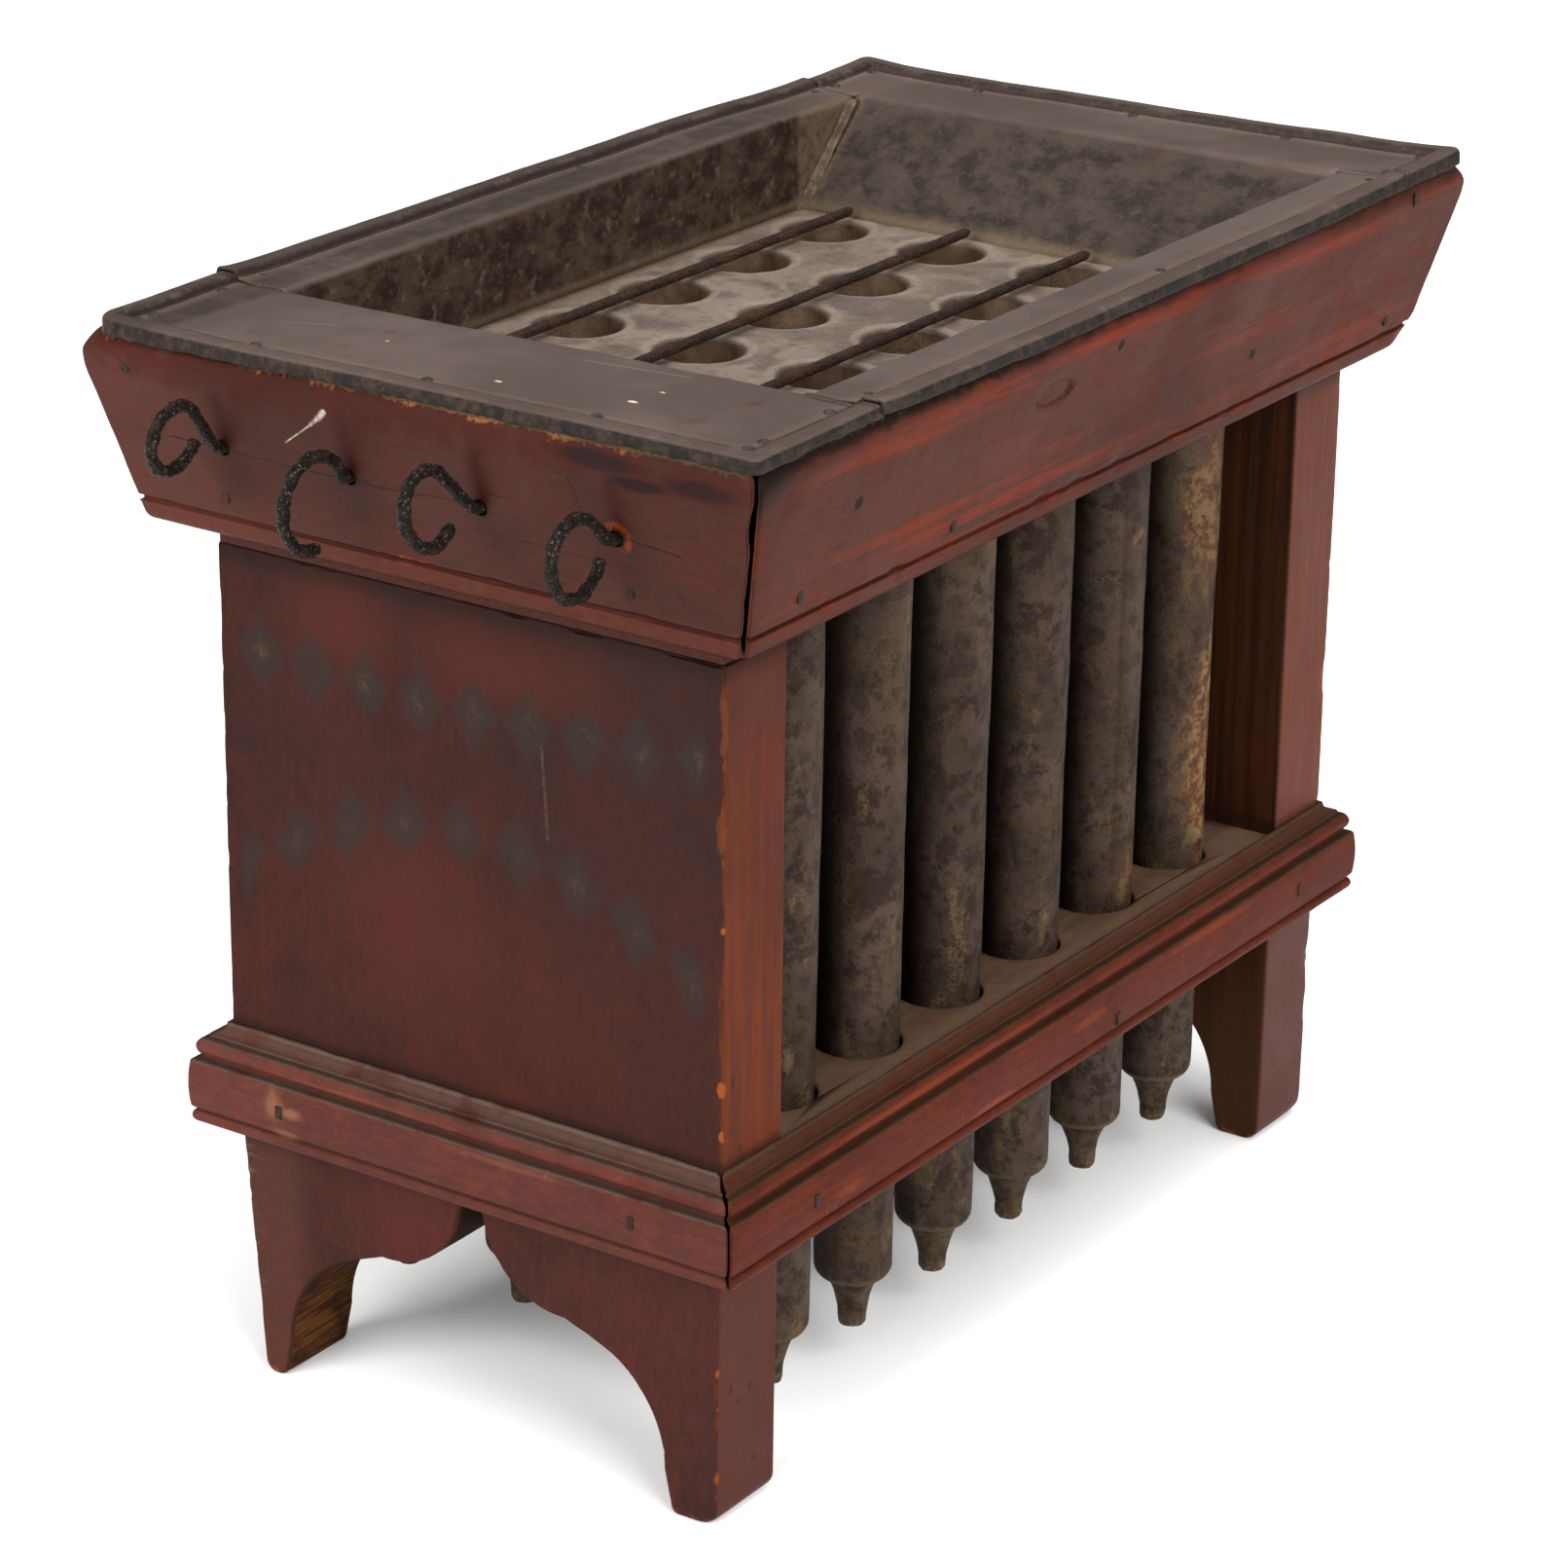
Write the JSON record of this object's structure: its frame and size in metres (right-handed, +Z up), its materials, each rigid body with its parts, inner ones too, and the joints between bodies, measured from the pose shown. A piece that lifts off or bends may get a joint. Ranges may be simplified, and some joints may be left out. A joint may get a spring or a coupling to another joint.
{
  "type": "candle mold",
  "caption": "Wood-framed tin candle mold: a flared hopper holds a soldered tray with tapered tubes below, wick rods with ring handles sliding over them, on bracket-cut end boards.",
  "frame": {"origin": "centre of the whole object's bounding box, ring handles included, on the plane the feet stand on", "axes": "+X along the length, away from the ring handles; +Y to the back; +Z up"},
  "size_m": [0.3908, 0.2178, 0.3063],
  "materials": {
    "end_paint": "worn dark red-brown paint on pine",
    "hopper_paint": "worn red paint on pine, rubbed through at the edges",
    "moulding_paint": "worn red paint on pine moulding",
    "shelf_wood": "dusty bare wood",
    "under_wood": "dark bare wood",
    "tray_tin": "oxidised tinplate with a satin grease film",
    "tray_floor_tin": "oxidised tinplate under dust and old tallow",
    "tube_tin": "dull pewter-grey tinplate with rust blooms",
    "solder": "dull lead-tin solder",
    "rod_iron": "pitted rusty wrought wire",
    "nail_iron": "rusty cut nails and tacks"
  },
  "bodies": {
    "mold": {"end_board_near": "end_paint", "end_board_far": "end_paint", "shelf_board": "shelf_wood", "bottom_board": "under_wood", "moulding_near": "moulding_paint", "moulding_far": "moulding_paint", "moulding_front": "moulding_paint", "moulding_back": "moulding_paint", "hopper_board_near": "hopper_paint", "hopper_board_far": "hopper_paint", "hopper_board_front": "hopper_paint", "hopper_board_back": "hopper_paint", "tray_floor": "tray_floor_tin", "tray_end_near": "tray_tin", "tray_end_far": "tray_tin", "tray_side_front": "tray_tin", "tray_side_back": "tray_tin", "corner_solder": "solder", "tube_a1": "tube_tin", "tube_a2": "tube_tin", "tube_a3": "tube_tin", "tube_a4": "tube_tin", "tube_a5": "tube_tin", "tube_a6": "tube_tin", "tube_b1": "tube_tin", "tube_b2": "tube_tin", "tube_b3": "tube_tin", "tube_b4": "tube_tin", "tube_b5": "tube_tin", "tube_b6": "tube_tin", "tube_c1": "tube_tin", "tube_c2": "tube_tin", "tube_c3": "tube_tin", "tube_c4": "tube_tin", "tube_c5": "tube_tin", "tube_c6": "tube_tin", "tube_d1": "tube_tin", "tube_d2": "tube_tin", "tube_d3": "tube_tin", "tube_d4": "tube_tin", "tube_d5": "tube_tin", "tube_d6": "tube_tin", "hopper_nails": "nail_iron", "moulding_nails": "nail_iron", "rim_nails": "nail_iron"},
    "rod_1": {"wick_rod_1": "rod_iron"},
    "rod_2": {"wick_rod_2": "rod_iron"},
    "rod_3": {"wick_rod_3": "rod_iron"},
    "rod_4": {"wick_rod_4": "rod_iron"}
  },
  "joints": [
    {"name": "wick_rod_1_slide", "type": "slide", "parent": "mold", "child": "rod_1", "axis": [-1, 0, 0], "range_m": [0, 0.32]},
    {"name": "wick_rod_2_slide", "type": "slide", "parent": "mold", "child": "rod_2", "axis": [-1, 0, 0], "range_m": [0, 0.32]},
    {"name": "wick_rod_3_slide", "type": "slide", "parent": "mold", "child": "rod_3", "axis": [-1, 0, 0], "range_m": [0, 0.32]},
    {"name": "wick_rod_4_slide", "type": "slide", "parent": "mold", "child": "rod_4", "axis": [-1, 0, 0], "range_m": [0, 0.32]}
  ]
}
